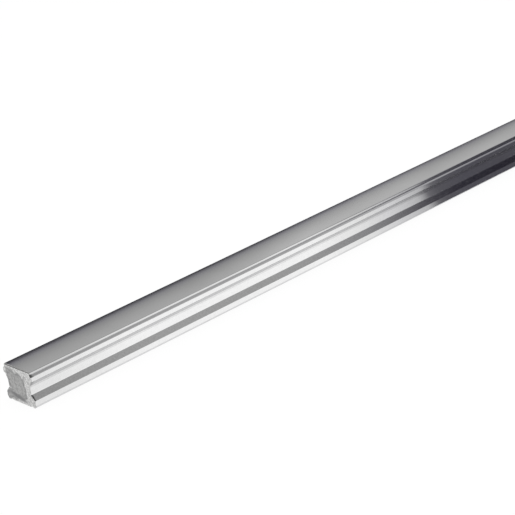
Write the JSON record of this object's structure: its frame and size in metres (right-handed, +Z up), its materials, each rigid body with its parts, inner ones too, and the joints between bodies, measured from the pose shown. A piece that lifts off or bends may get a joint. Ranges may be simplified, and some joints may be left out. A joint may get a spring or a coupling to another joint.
{
  "type": "linear guide rail",
  "caption": "Straight profiled steel guide rail with ball raceways, waisted sides and a row of counterbored bolt holes, closed by a clip-on cover strip that slides along its head.",
  "frame": {"origin": "middle of the underside, halfway along the rail", "axes": "+Y along the rail, +Z up out of the face that the bolts are driven from, +X across towards the datum side"},
  "size_m": [0.034, 0.68, 0.0296],
  "materials": {
    "ground_rail_steel": "ground along its length, hardened raceways",
    "spring_strip_steel": "cold rolled, satin"
  },
  "bodies": {
    "rail": {"guide_rail": "ground_rail_steel"},
    "strip": {"cover_strip": "spring_strip_steel"}
  },
  "joints": [
    {"name": "strip_slide", "type": "slide", "parent": "rail", "child": "strip", "axis": [0, 1, 0], "range_m": [-0.64, 0.64]}
  ]
}
